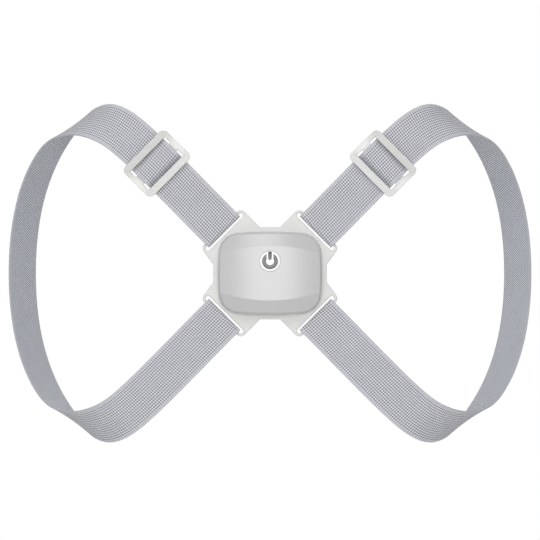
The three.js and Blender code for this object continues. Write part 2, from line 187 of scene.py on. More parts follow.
# Each light's place, width and height
LIGHTS = {
    "key": ((0, -2.65, 0.34), 1.55, 1.25),
    "top": ((-0.2, -1.6, 1.64), 1.2, 0.9),
    "back": ((0.4, 2.5, 0.8), 1.6, 1.2),
}

# The light from all round grows along this way, between these two distances along it
BRIGHT_WAY = (-0.35, -0.45, 0.6)
DARK_END = -0.5
BRIGHT_END = 0.6
VIEW_REACH = 50

DIAGONAL = math.sqrt(0.5)
TURN = 2 * math.pi
QUARTER = math.pi / 2


def unit(vectors):
    """Each row divided by its own length."""
    return vectors / np.linalg.norm(vectors, axis=-1, keepdims=True)


def distances_along(points):
    """The distance from the first point to each point, along the straight lines between them."""
    return np.concatenate([[0], np.cumsum(np.linalg.norm(np.diff(points, axis=0), axis=1))])


def shell(name, points, looped=False, uv=None):
    """A closed mesh over a grid of points, whose columns run round and join up.

    points has the shape (rows, columns, 3). With looped the last row joins the first, and otherwise the two
    end rows are closed with a flat face. uv is a pair of arrays: one value for each column and one more for
    the seam, and one value for each row. The faces are turned so that the volume, the sum over the corners
    of a . (b x c) / 6, is positive, which makes them point outwards.
    """
    rows, columns = points.shape[:2]
    last = rows if looped else rows - 1
    row, column = np.meshgrid(np.arange(last), np.arange(columns), indexing="ij")
    corners = [(row, column), (row, column + 1), (row + 1, column + 1), (row + 1, column)]
    quads = np.stack([(r % rows) * columns + c % columns for r, c in corners], axis=-1).reshape(-1, 4)
    places = points.reshape(-1, 3)
    first, second, third, fourth = (places[quads[:, corner]] for corner in range(4))
    volume = np.einsum("ij,ij->", first, np.cross(second, third) + np.cross(third, fourth))
    if volume < 0:
        quads = quads[:, ::-1]
        corners = corners[::-1]
    faces = quads.tolist()
    if not looped:
        start = list(range(columns))
        finish = list(range((rows - 1) * columns, rows * columns))
        faces += [start, finish[::-1]] if volume < 0 else [start[::-1], finish]
    mesh = bpy.data.meshes.new(name)
    mesh.from_pydata(places.tolist(), [], faces)
    smooth = np.ones(len(faces), dtype=bool)
    smooth[len(quads):] = False
    mesh.polygons.foreach_set("use_smooth", smooth)
    if uv is not None:
        across, along = uv
        flat = np.stack([np.stack([across[c], along[r]], axis=-1) for r, c in corners], axis=2)
        layer = mesh.uv_layers.new(name="run")
        values = np.zeros((len(mesh.loops), 2), dtype=np.float32)
        values[:len(quads) * 4] = flat.reshape(-1, 2)
        layer.data.foreach_set("uv", values.ravel())
    mesh.validate()
    return mesh


def add_object(name, data):
    """Puts an object with this mesh, light or camera into the scene."""
    made = bpy.data.objects.new(name, data)
    bpy.context.scene.collection.objects.link(made)
    return made


def add_piece(name, mesh, body, nodes=(), materials=()):
    """Puts a mesh into the scene as a piece that rides on a body and may stand for CAD nodes."""
    piece = add_object(name, mesh)
    for made in materials:
        mesh.materials.append(made)
    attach(piece, body)
    if nodes:
        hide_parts(*nodes)
    return piece


def smooth_mesh(name, places, faces, mend):
    """A mesh with smooth shading, after mend has worked on it as a bmesh."""
    mesh = bpy.data.meshes.new(name)
    mesh.from_pydata(places, [], faces)
    solid = bmesh.new()
    solid.from_mesh(mesh)
    mend(solid)
    solid.to_mesh(mesh)
    solid.free()
    mesh.polygons.foreach_set("use_smooth", np.ones(len(mesh.polygons), dtype=bool))
    return mesh


def merge(solid):
    """Makes corners in one place one corner, and faces in one plane one face."""
    bmesh.ops.remove_doubles(solid, verts=solid.verts, dist=SAME_PLACE)
    bmesh.ops.dissolve_limit(
        solid, angle_limit=SAME_PLANE, verts=solid.verts, edges=solid.edges, delimit=set()
    )


def face_outwards(solid):
    """Turns every face so that it points out of its solid."""
    bmesh.ops.recalc_face_normals(solid, faces=solid.faces)


def merged_copy(node, name):
    """A CAD node's mesh with its corners merged and its flat faces each made one face."""
    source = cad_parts[node].data
    places = np.empty(len(source.vertices) * 3, dtype=np.float32)
    source.vertices.foreach_get("co", places)
    source.calc_loop_triangles()
    triangles = np.empty(len(source.loop_triangles) * 3, dtype=np.int32)
    source.loop_triangles.foreach_get("vertices", triangles)
    return smooth_mesh(name, places.reshape(-1, 3).tolist(), triangles.reshape(-1, 3).tolist(), merge)


def round_edges(piece, radius):
    """Rounds every sharp edge, and keeps the flat faces flat in the shading."""
    bevel = piece.modifiers.new("round_edges", "BEVEL")
    bevel.width = radius
    bevel.segments = BEVEL_STEPS
    bevel.limit_method = "ANGLE"
    bevel.angle_limit = SHARP_EDGE
    flat = piece.modifiers.new("flat_faces", "WEIGHTED_NORMAL")
    flat.keep_sharp = False
    flat.weight = FLAT_WEIGHT


# The webbing's route


def spline_slopes(places, rows, first, last):
    """The slopes at each row of the smoothest cubic curve through rows, with the slopes at its ends given.

    At each inner row the curvature is the same on both sides: with a and b the shares 1/gap before and after,
    a*slope_before + 2*(a + b)*slope + b*slope_after = 3*(a*rise_before + b*rise_after).
    """
    count = len(places)
    share = 1 / np.diff(places)
    rise = np.diff(rows, axis=0) * share[:, None]
    inner = np.arange(1, count - 1)
    weights = np.zeros((count, count))
    weights[0, 0] = weights[-1, -1] = 1
    weights[inner, inner - 1] = share[:-1]
    weights[inner, inner] = 2 * (share[:-1] + share[1:])
    weights[inner, inner + 1] = share[1:]
    values = np.zeros_like(rows)
    values[0] = first
    values[-1] = last
    values[inner] = 3 * (share[:-1, None] * rise[:-1] + share[1:, None] * rise[1:])
    return np.linalg.solve(weights, values)


def loop_path():
    """The middle line of the webbing's outer layer, from the upper slot round the shoulder to the lower one.

    The curve is a cubic spline through the stations over the straight distance between them. The outer face
    is -cos(turn)*deep + sin(turn)*(run x deep), where deep is +Y made square to the run.
    """
    slot_out = (SLOT_REACH + SLOT_OFFSET) * DIAGONAL
    slot_up = (SLOT_REACH - SLOT_OFFSET) * DIAGONAL
    out, up, back, turn = LOOP_STATIONS.T
    upper = np.stack([out * LOOP_REACH, back * LOOP_DEPTH, up * LOOP_HEIGHT, turn], axis=1)
    upper = np.concatenate([[(slot_out, 0, slot_up, 0)], upper])
    rows = np.concatenate([upper, upper[-2::-1] * (1, 1, -1, 1)])
    places = distances_along(rows[:, :3])
    slopes = spline_slopes(places, rows, (DIAGONAL, 0, DIAGONAL, 0), (-DIAGONAL, 0, DIAGONAL, 0))
    where = np.linspace(0, places[-1], PATH_SAMPLES + 1)
    row = np.clip(np.searchsorted(places, where) - 1, 0, len(places) - 2)
    gap = (places[row + 1] - places[row])[:, None]
    t = (where - places[row])[:, None] / gap
    curve = rows[row] + (rows[row + 1] - rows[row]) * t * t * (3 - 2 * t)
    curve += t * (1 - t) * gap * ((1 - t) * slopes[row] - t * slopes[row + 1])
    points = curve[:, :3] - (0, WEB_DEPTH, 0)
    roll = np.radians(curve[:, 3:])
    run = unit(np.gradient(points, axis=0))
    deep = unit(np.array([0, 1, 0]) - run * run[:, 1:2])
    face = -np.cos(roll) * deep + np.sin(roll) * np.cross(run, deep)
    return distances_along(points), points, run, face


LOOP = loop_path()
LOOP_LENGTH = LOOP[0][-1]


def on_loop(across, along, rise):
    """Points at these distances across the webbing, along the loop and out from its outer layer."""
    marks, points, run, face = LOOP
    before = np.clip(np.searchsorted(marks, along, side="right") - 1, 0, len(marks) - 2)
    share = ((along - marks[before]) / (marks[before + 1] - marks[before]))[..., None]
    place = points[before] * (1 - share) + points[before + 1] * share
    way = unit(run[before] * (1 - share) + run[before + 1] * share)
    out = face[before] * (1 - share) + face[before + 1] * share
    out = unit(out - way * np.sum(way * out, axis=-1, keepdims=True))
    side = np.cross(way, out)
    return place + side * across[..., None] + out * rise[..., None]


def strap_folds():
    """The folds of one strap: distance from the upper slot, height over the outer layer, and bend radius."""
    share = SLIDER_WINDOW / (SLIDER_WINDOW + SLIDER_END_BAR)
    bar_rise = HALF_WEB + RUN_GAP + SLIDER_THICKNESS / 2 - SLIDER_DIP * share
    bar_top = bar_rise + SLIDER_THICKNESS / 2
    snug = RUN_GAP + HALF_WEB
    wide = WEB_LAYER
    bar_reach = SLIDER_MIDDLE_BAR / 2 + snug
    hump = bar_top + snug + WEB_LAYER
    crown = snug + WEB_LAYER
    hump_reach = SLIDER_MIDDLE_BAR / 2 + crown * math.tan(RAMP_ANGLE / 2)
    hump_foot = hump_reach + hump / math.tan(RAMP_ANGLE)
    under_bar = bar_rise - SLIDER_THICKNESS / 2 - snug
    deep = -2 * BEND_RADIUS
    near_bar = SLIDER_PLACE - SLIDER_MIDDLE_BAR / 2 - SLIDER_WINDOW
    slope = (-WEB_LAYER - deep) / (near_bar - BAR_MIDDLE)
    lift = bar_reach + (under_bar + WEB_LAYER) / math.tan(RAMP_ANGLE)
    tail_turn = bar_reach + WEB_THICKNESS / 2
    slot_turn = BAR_MIDDLE - BEND_RADIUS
    tail_far = SLIDER_PLACE - tail_turn - UPPER_TAIL
    end = LOOP_LENGTH
    tail_near = end - BAR_MIDDLE - TAIL_SLOPE
    return np.array([
        (tail_far, -2 * WEB_LAYER - slope * (near_bar - tail_far), 0),
        (near_bar, -2 * WEB_LAYER, wide),
        (SLIDER_PLACE - tail_turn, -2 * WEB_LAYER, wide),
        (SLIDER_PLACE + bar_reach, under_bar, snug),
        (SLIDER_PLACE + bar_reach, bar_top + snug, snug),
        (SLIDER_PLACE - bar_reach, bar_top + snug, snug),
        (SLIDER_PLACE - bar_reach, under_bar, wide),
        (SLIDER_PLACE - lift, -WEB_LAYER, HALF_WEB),
        (near_bar, -WEB_LAYER, wide),
        (BAR_MIDDLE + TAIL_SLOPE, deep + slope * TAIL_SLOPE, wide),
        (slot_turn, deep, BEND_RADIUS),
        (slot_turn, 0, BEND_RADIUS),
        (SLIDER_PLACE - hump_foot, 0, WEB_THICKNESS),
        (SLIDER_PLACE - hump_reach, hump, crown),
        (SLIDER_PLACE + hump_reach, hump, crown),
        (SLIDER_PLACE + hump_foot, 0, WEB_THICKNESS),
        (end - slot_turn, 0, BEND_RADIUS),
        (end - slot_turn, deep, BEND_RADIUS),
        (end - BAR_MIDDLE, deep, wide),
        (tail_near, -WEB_LAYER, wide),
        (tail_near - LOWER_TAIL, -WEB_LAYER, 0),
    ])


def strap_route():
    """The strap's path through its folds: straight between them, and at each an arc of its radius.

    An arc starts radius*tan(bend/2) before the corner, and its points are the start turned about a centre
    that is a radius to the side. Gives the points, the sideways direction and the distance at each.
    """
    folds = strap_folds()
    corners = folds[:, :2]
    legs = unit(np.diff(corners, axis=0))
    route = [corners[:1]]
    for corner, arriving, leaving, radius in zip(corners[1:], legs, legs[1:], folds[1:, 2]):
        bend = math.atan2(arriving[0] * leaving[1] - arriving[1] * leaving[0], arriving @ leaving)
        start = corner - arriving * radius * math.tan(abs(bend) / 2)
        arm = np.array([arriving[1], -arriving[0]]) * math.copysign(radius, bend)
        steps = max(2, round(abs(bend) / QUARTER * BEND_STEPS))
        angle = bend * np.arange(1, steps + 1)[:, None] / steps
        turned = np.cos(angle) * arm + np.sin(angle) * np.array([-arm[1], arm[0]])
        route += [straight(route[-1][-1], start), start - arm + turned]
    route.append(straight(route[-1][-1], corners[-1]))
    points = np.concatenate(route)
    kept = np.linalg.norm(np.diff(points, axis=0), axis=1) > SHORTEST_STEP
    points = points[np.concatenate([[True], kept])]
    legs = unit(np.diff(points, axis=0))
    way = unit(np.concatenate([legs[:1], legs[:-1] + legs[1:], legs[-1:]]))
    return points, np.stack([-way[:, 1], way[:, 0]], axis=1), distances_along(points)


def straight(start, finish):
    """Points after start on the straight line to finish, about WEB_STEP apart."""
    steps = max(1, round(float(np.linalg.norm(finish - start)) / WEB_STEP))
    return start + (finish - start) * np.arange(1, steps + 1)[:, None] / steps


ROUTE = strap_route()
STRAP_LENGTH = ROUTE[2][-1]


def on_strap(across, distance, height):
    """Points of the strap at these distances across it, along it and out from its middle layer."""
    points, sideways, marks = ROUTE
    place = [np.interp(distance, marks, points[:, axis]) for axis in range(2)]
    out = unit(np.stack([np.interp(distance, marks, sideways[:, axis]) for axis in range(2)], axis=-1))
    return on_loop(across, place[0] + out[..., 0] * height, place[1] + out[..., 1] * height)


def web_section(look):
    """The webbing's outline across its width, from one edge round: position, height and place in the weave.

    On the outer face the height is half the thickness less rib_depth*(1 + cos(2 pi x/pitch))/2. The edges are
    quarter circles, and the inner face is flat. The place in the weave is the position, and on an edge it
    grows by the length of the arc. Also gives which columns are on an edge or the inner side; they take the
    darker inner colours, which are painted shade.
    """
    edge = look.edge_radius
    ribs = look.rib_count * rib_pitch(look)
    x = np.linspace(-ribs / 2, ribs / 2, RIB_STEPS * look.rib_count + 1)
    valley = look.rib_depth * (1 + np.cos(TURN * x / rib_pitch(look))) / 2
    flat = WEB_WIDTH / 2 - edge
    outer_x = np.concatenate([[-flat], x, [flat]])
    outer_height = np.concatenate([[HALF_WEB], HALF_WEB - valley, [HALF_WEB]])
    outer = np.stack([outer_x, outer_height, outer_x], axis=1)
    angle = QUARTER * np.linspace(1, -1, ROUND_STEPS + 1)[1:-1]
    bulge = np.stack([
        flat + np.cos(angle) * edge,
        np.sin(angle) * edge + np.sign(angle) * (HALF_WEB - edge),
        flat + (QUARTER - np.abs(angle)) * edge,
    ], axis=1)
    inner_x = np.linspace(flat, -flat, look.rib_count + 1)
    inner = np.stack([inner_x, np.full_like(inner_x, -HALF_WEB), inner_x], axis=1)
    section = np.concatenate([outer, bulge, inner, bulge[::-1] * (-1, 1, -1)])
    return section, np.arange(len(section)) >= len(outer) - 1


def rib_pitch(look):
    """The distance between two ribs."""
    return (WEB_WIDTH - 2 * look.selvedge) / look.rib_count


def strap_mesh(name, look, side):
    """One strap: the section of the webbing carried along its route. side is 1 for right and -1 for left.

    The second finish, whose darker colours are painted shade, is on the inner side, on both rounded edges
    and on the two end faces, which come last.
    """
    section, inner = web_section(look)
    distance = ROUTE[2]
    grid = np.broadcast_arrays(section[None, :, 0], distance[:, None], section[None, :, 1])
    points = on_strap(*grid) * (side, 1, 1)
    mesh = shell(name, points, uv=(np.append(section[:, 2], section[0, 2]), distance))
    finish = np.ones(len(mesh.polygons), dtype=np.int32)
    finish[:-2] = np.tile(inner, len(distance) - 1)
    mesh.polygons.foreach_set("material_index", finish)
    return mesh


def stitch_mesh(name, look, side):
    """Rows of stitches across both sewn ends of a strap, on the face that lies towards the wearer.

    A stitch is a bead of thread: at the share s of its length its radius is radius*sqrt(1 - (2s - 1)^4), and
    its middle is STITCH_LIFT of that radius over the webbing.
    """
    count = int(look.stitch_span / look.stitch_pitch)
    middles = (np.arange(count) - (count - 1) / 2) * look.stitch_pitch
    rows = look.stitch_inset + look.stitch_row_gap * np.arange(look.stitch_rows)
    share = np.linspace(STITCH_START, 1 - STITCH_START, STITCH_RINGS)
    spoke = np.arange(STITCH_SPOKES) * TURN / STITCH_SPOKES
    girth = look.stitch_radius * np.sqrt(1 - (2 * share - 1) ** 4)
    across = (share - 0.5) * look.stitch_length
    lift = HALF_WEB + girth * STITCH_LIFT
    places = []
    for distances, face in ((rows, -1), (STRAP_LENGTH - rows, 1)):
        for distance in distances:
            x, along, high = np.broadcast_arrays(
                middles[:, None, None] + across[None, :, None],
                distance + (girth[:, None] * np.cos(spoke))[None],
                face * (lift[:, None] + girth[:, None] * np.sin(spoke))[None],
            )
            places.append(on_strap(x, along, high).reshape(count, -1, 3))
    beads = np.concatenate(places) * (side, 1, 1)
    ring = np.arange(STITCH_SPOKES)
    after = np.roll(ring, -1)
    near = STITCH_SPOKES * np.arange(STITCH_RINGS - 1)[:, None]
    far = near + STITCH_SPOKES
    body = np.stack([near + ring, near + after, far + after, far + ring], axis=-1).reshape(-1, 4)
    size = STITCH_RINGS * STITCH_SPOKES
    bead = size * np.arange(len(beads))[:, None]
    caps = np.stack([bead + ring[::-1], bead + size - STITCH_SPOKES + ring], axis=1)
    faces = (bead[..., None] + body).reshape(-1, 4).tolist() + caps.reshape(-1, STITCH_SPOKES).tolist()
    return smooth_mesh(name, beads.reshape(-1, 3).tolist(), faces, face_outwards)


# The housing, its button and the symbol


def bowed_outline(count):
    """The cover's outline in X and Z: four corner arcs joined by sides that bulge, as evenly spaced points.

    A side is a quadratic curve whose ends lean by the bow angle, so that it meets the arcs smoothly.
    """
    lean = COVER_BOW
    rise = math.tan(lean) / 2
    reach = COVER_CORNER * (math.cos(lean) + rise * math.sin(lean))
    across = COVER_WIDTH / 2 - reach
    along = COVER_HEIGHT / 2 - reach
    centre_x = (across - rise * along) / (1 - rise * rise)
    centre_z = (along - rise * across) / (1 - rise * rise)
    t = np.linspace(0, 1, OUTLINE_SAMPLES)[:, None]
    angle = np.linspace(lean, QUARTER - lean, OUTLINE_SAMPLES)
    arc = np.stack([centre_x + COVER_CORNER * np.cos(angle), centre_z + COVER_CORNER * np.sin(angle)], axis=1)
    flat_z = arc[0, 1]
    right_peak = np.array([arc[0, 0] + flat_z * 2 * rise, 0])
    right = (1 - t) ** 2 * (arc[0] * (1, -1)) + 2 * t * (1 - t) * right_peak + t ** 2 * arc[0]
    top_peak = np.array([0, arc[-1, 1] + arc[-1, 0] * 2 * rise])
    top = (1 - t) ** 2 * arc[-1] + 2 * t * (1 - t) * top_peak + t ** 2 * (arc[-1] * (-1, 1))
    half = np.concatenate([right, arc[1:-1], top, (arc * (-1, 1))[-2:0:-1]])
    ring = np.concatenate([half, -half, half[:1]])
    marks = distances_along(ring)
    even = np.linspace(0, marks[-1], count, endpoint=False)
    return np.stack([np.interp(even, marks, ring[:, axis]) for axis in range(2)], axis=1)


def cover_depth(place, blend):
    """How far the cover's front stands off the pad at these places in X and Z.

    It is the lower of two sheets, front - crown*s^2 over the middle and front - crown_edge*s^2/cos(lean) -
    (|z| - crease)*tan(lean) over the bands at the top and bottom, with s the share of the half width. Where
    they differ by d, less than blend, the crease is rounded by (blend - d)^2/(4 blend).
    """
    share = (place[..., 0] / (COVER_WIDTH / 2)) ** 2
    slope = EDGE_DROP / EDGE_BAND
    crease = COVER_HEIGHT / 2 - EDGE_BAND
    middle = COVER_FRONT - CROWN_DROP * share
    crown = CROWN_DROP + EDGE_CREEP * slope
    band = COVER_FRONT - crown * share * math.hypot(1, slope) - (np.abs(place[..., 1]) - crease) * slope
    short = np.maximum(blend - np.abs(middle - band), 0)
    return np.minimum(middle, band) - short ** 2 / (4 * blend)


def cover_mesh(name, look):
    """The housing's cover as rings round its outline, closed on itself through the button's hole.

    From the rear edge the rings go up the side, which leans in by draft + (lower_draft - draft)*down^2, with
    down the share by which the side faces down. They go round the rim, where at a distance d inside the side
    the front is lower by R - sqrt(R^2 - (R - d)^2), across the front to the hole, and back inside the wall.
    """
    outline = bowed_outline(look.ring_points)
    way = unit(np.roll(outline, -1, axis=0) - np.roll(outline, 1, axis=0))
    inward = np.stack([-way[:, 1], way[:, 0]], axis=1)
    radius = look.rim_radius
    hole = BUTTON_RADIUS + look.button_gap
    middle = np.array([0, BUTTON_LIFT])
    ray = unit(outline - middle)
    downward = np.clip(inward[:, 1:], 0, 1) ** 2
    lean = inward * (look.draft + (look.lower_draft - look.draft) * downward)
    drawn_in = outline + lean

    def at(place, depth):
        return np.stack([place[:, 0], np.broadcast_to(-depth, len(place)), place[:, 1]], axis=1)

    def front(place):
        return cover_depth(place, look.crease_blend)

    side_height = front(drawn_in) - radius - COVER_REAR
    rings = []
    for share in SIDE_SHARES:
        rings.append(at(outline + lean * share, COVER_REAR + side_height * share))
    for angle in np.linspace(0, QUARTER, ROUND_STEPS + 1):
        place = drawn_in + inward * radius * (1 - math.cos(angle))
        rings.append(at(place, front(place) - radius * (1 - math.sin(angle))))
    lip = look.lip_radius
    start = drawn_in + inward * radius
    finish = middle + ray * (hole + lip)
    for share in np.linspace(0, 1, look.front_rings)[1:]:
        place = start + (finish - start) * share
        rings.append(at(place, front(place)))
    for angle in np.linspace(QUARTER, 0, LIP_STEPS + 1)[1:]:
        place = middle + ray * (hole + lip * (1 - math.cos(angle)))
        rings.append(at(place, front(place) - lip * (1 - math.sin(angle))))
    place = middle + ray * hole
    rings.append(at(place, front(place) - COVER_WALL))
    start = middle + ray * (hole + lip)
    finish = outline + inward * COVER_WALL
    for share in np.linspace(0, 1, WALL_RINGS):
        place = start + (finish - start) * share
        rings.append(at(place, front(place) - COVER_WALL))
    rings.append(at(finish, np.full(len(outline), COVER_REAR)))
    return shell(name, np.stack(rings), looped=True)


def button_mesh(name, look):
    """The button turned about its middle: pairs of radius and depth, with the front edge a quarter circle."""
    flange = BUTTON_RADIUS + FLANGE_RIM
    sag = CROWN_DROP * (flange / (COVER_WIDTH / 2)) ** 2
    front = COVER_FRONT - COVER_WALL - sag - RUN_GAP
    edge = look.edge_radius
    angle = np.linspace(0, QUARTER, ROUND_STEPS + 1)
    round_edge = np.stack([
        BUTTON_RADIUS - edge + edge * np.cos(angle),
        BUTTON_FRONT - edge + edge * np.sin(angle),
    ], axis=1)
    profile = np.concatenate([
        [(flange * FACE_SHARES[-1], front - FLANGE_THICKNESS), (flange, front - FLANGE_THICKNESS),
         (flange, front), (BUTTON_RADIUS, front)],
        round_edge,
        [(BUTTON_RADIUS * share, BUTTON_FRONT) for share in FACE_SHARES],
    ])
    spoke = np.arange(BUTTON_SPOKES) * TURN / BUTTON_SPOKES
    reach, depth = profile[:, :1], profile[:, 1:]
    points = np.broadcast_arrays(reach * np.cos(spoke), -depth, BUTTON_LIFT + reach * np.sin(spoke))
    return shell(name, np.stack(points, axis=-1))


def ridge_section(width, look):
    """A low ridge's outline across its width: flat below, with a height of sqrt(1 - |2x/width|^n) above."""
    angle = np.linspace(0, QUARTER, ROUND_STEPS + 1)
    share = np.cos(angle) ** (2 / look.mark_dome)
    right = np.stack([share * width / 2, MARK_THICKNESS * np.sin(angle)], axis=1)
    return np.concatenate([right, right[-2::-1] * (-1, 1)])


def mark_arc_mesh(name, look):
    """The ring of the power symbol: the ridge carried round from one side of the gap to the other.

    At the radius r the ring starts at the angle asin(gap/2/r) from straight up, so its ends are upright.
    """
    section = ridge_section(MARK_OUTER_RADIUS - MARK_INNER_RADIUS, look)
    radius = (MARK_OUTER_RADIUS + MARK_INNER_RADIUS) / 2 + section[:, 0]
    start = np.arcsin(MARK_GAP_WIDTH / 2 / radius)
    share = np.linspace(0, 1, MARK_STEPS + 1)[:, None]
    angle = start + (TURN - 2 * start) * share
    points = np.broadcast_arrays(
        radius * np.sin(angle), -BUTTON_FRONT - section[:, 1], BUTTON_LIFT + radius * np.cos(angle)
    )
    return shell(name, np.stack(points, axis=-1))


def mark_bar_mesh(name, look):
    """The stroke of the power symbol: the ridge carried upwards from a round lower end."""
    section = ridge_section(MARK_BAR_WIDTH, look)
    angle = np.linspace(BAR_TIP, QUARTER, ROUND_STEPS + 1)
    height = np.append(MARK_BAR_LOW + MARK_BAR_WIDTH / 2 * (1 - np.cos(angle)), MARK_BAR_HIGH)
    scale = np.append(np.sin(angle), 1)
    points = np.broadcast_arrays(
        section[:, 0] * scale[:, None], -BUTTON_FRONT - section[:, 1], BUTTON_LIFT + height[:, None]
    )
    return shell(name, np.stack(points, axis=-1))


# Finishes


def feed(tree, node, inputs):
    """Links or sets some of a node's inputs, by their names or places."""
    for key, value in inputs.items():
        if isinstance(value, bpy.types.NodeSocket):
            tree.links.new(value, node.inputs[key])
        else:
            node.inputs[key].default_value = value


def add_node(tree, kind, inputs=None, **settings):
    """A node in a tree, with its own settings and with some of its inputs linked or set."""
    node = tree.nodes.new(kind)
    for key, value in settings.items():
        setattr(node, key, value)
    feed(tree, node, inputs or {})
    return node


def math_node(tree, operation, first, second=None, third=None):
    """The result of one sum on two or three numbers or sockets."""
    inputs = {place: value for place, value in enumerate((first, second, third)) if value is not None}
    return add_node(tree, "ShaderNodeMath", inputs, operation=operation).outputs[0]


def new_group(name, place, numbers, results):
    """An empty shader node group that is given a place and some numbers, and gives other numbers."""
    group = bpy.data.node_groups.new(name, "ShaderNodeTree")
    group.interface.new_socket(name=place, in_out="INPUT", socket_type="NodeSocketVector")
    for way, labels in (("INPUT", numbers), ("OUTPUT", results)):
        for label in labels:
            group.interface.new_socket(name=label, in_out=way, socket_type="NodeSocketFloat")
    entry = group.nodes.new("NodeGroupInput")
    leaving = group.nodes.new("NodeGroupOutput")
    return group, entry.outputs, leaving.inputs


def noise(tree, place, scale, detail):
    """Noise at a place, with so many lumps for each metre and so many finer layers."""
    inputs = {"Vector": place, "Scale": scale, "Detail": detail}
    return add_node(tree, "ShaderNodeTexNoise", inputs).outputs[0]


def wave(tree, place, pitch):
    """(1 + cos(2 pi place/pitch))/2, which is 1 at 0 and 0 half a pitch away."""
    turns = math_node(tree, "DIVIDE", place, pitch)
    cosine = math_node(tree, "COSINE", math_node(tree, "MULTIPLY", turns, TURN))
    return math_node(tree, "MULTIPLY_ADD", cosine, 0.5, 0.5)


def weave_group():
    """Woven threads: ribs along the webbing, crossed by threads, between two selvedges.

    Run is the place across and along the webbing. Height goes from 0 in the pits between the threads to 1 on
    top of them, Selvedge is 1 on the firm edges, and Drift varies slowly along the webbing.
    """
    group, given, result = new_group(
        "woven_threads", "Run", ("Rib Pitch", "Thread Pitch", "Slant", "Ribbed Half Width", "Rib Share"),
        ("Height", "Selvedge", "Drift"),
    )
    split = add_node(group, "ShaderNodeSeparateXYZ", {0: given["Run"]}).outputs
    stretch = add_node(group, "ShaderNodeVectorMath", {0: given["Run"], 1: (1, WANDER_STRETCH, 1)},
                       operation="MULTIPLY")
    uneven = noise(group, stretch.outputs[0], WANDER_SCALE, 2.0)
    shift = math_node(group, "MULTIPLY_ADD", uneven, 2 * WANDER, -WANDER)
    leaning = math_node(group, "MULTIPLY_ADD", split[0], given["Slant"], split[1])
    along = math_node(group, "ADD", leaning, shift)
    rib = math_node(group, "SUBTRACT", 1.0, wave(group, split[0], given["Rib Pitch"]))
    thread = wave(group, along, given["Thread Pitch"])
    other = math_node(group, "SUBTRACT", 1.0, given["Rib Share"])
    woven = math_node(group, "ADD", math_node(group, "MULTIPLY", rib, given["Rib Share"]),
                      math_node(group, "MULTIPLY", thread, other))
    reach = math_node(group, "ABSOLUTE", split[0])
    past = math_node(group, "SUBTRACT", reach, given["Ribbed Half Width"])
    edge = add_node(group, "ShaderNodeMapRange", {0: past, 1: -SELVEDGE_BLEND, 2: SELVEDGE_BLEND}).outputs[0]
    close = wave(group, split[1], math_node(group, "MULTIPLY", given["Thread Pitch"], 0.5))
    firm = math_node(group, "MULTIPLY_ADD", close, SELVEDGE_RISE, SELVEDGE_LOW)
    height = add_node(group, "ShaderNodeMix", {"Factor": edge, "A": woven, "B": firm}, data_type="FLOAT")
    group.links.new(height.outputs[0], result["Height"])
    group.links.new(edge, result["Selvedge"])
    group.links.new(noise(group, given["Run"], DRIFT_SCALE, 3.0), result["Drift"])
    return group


def grain_group():
    """The fine grain of moulded plastic: two sizes of noise at the piece's own place."""
    group, given, result = new_group(
        "moulded_grain", "Place", ("Grain Size", "Tone Amount"), ("Height", "Tone")
    )
    scale = math_node(group, "DIVIDE", 1.0, given["Grain Size"])
    centred = math_node(group, "SUBTRACT", noise(group, given["Place"], TONE_SCALE, 2.0), 0.5)
    group.links.new(noise(group, given["Place"], scale, 2.0), result["Height"])
    group.links.new(math_node(group, "MULTIPLY_ADD", centred, given["Tone Amount"], 1.0), result["Tone"])
    return group


def shared_group(name, build):
    """The node group of this name, built the first time it is needed."""
    return bpy.data.node_groups.get(name) or build()


def new_material(name):
    """A material with one Principled shader."""
    made = bpy.data.materials.new(name)
    made.use_nodes = True
    return made, made.node_tree, made.node_tree.nodes["Principled BSDF"]


def mixed_colour(tree, factor, first, second):
    """The first colour where factor is 0, the second where it is 1, and a mixture between."""
    inputs = {"Factor": factor, "A": first, "B": second}
    return add_node(tree, "ShaderNodeMix", inputs, data_type="RGBA").outputs[2]


def surface(tree, shader, paint, tone, height, depth):
    """Gives a shader a colour times a tone, and bumps of this depth."""
    toned = add_node(tree, "ShaderNodeVectorMath", {0: paint, "Scale": tone}, operation="SCALE")
    bump = add_node(tree, "ShaderNodeBump", {"Height": height, "Strength": 1.0, "Distance": depth})
    feed(tree, shader, {"Base Color": toned.outputs[0], "Normal": bump.outputs[0]})


def plastic(name, paint, roughness, grain_size, grain_depth, tone_amount=0.02, gloss=0.5):
    """Moulded plastic: one colour that drifts a little in tone, with a fine grain."""
    made, tree, shader = new_material(name)
    grain = add_node(tree, "ShaderNodeGroup", {
        "Place": add_node(tree, "ShaderNodeTexCoord").outputs["Object"],
        "Grain Size": grain_size,
        "Tone Amount": tone_amount,
    }, node_tree=shared_group("moulded_grain", grain_group)).outputs
    surface(tree, shader, tuple(paint)[:3], grain["Tone"], grain["Height"], grain_depth)
    feed(tree, shader, {"Roughness": roughness, "Specular IOR Level": gloss})
    return made


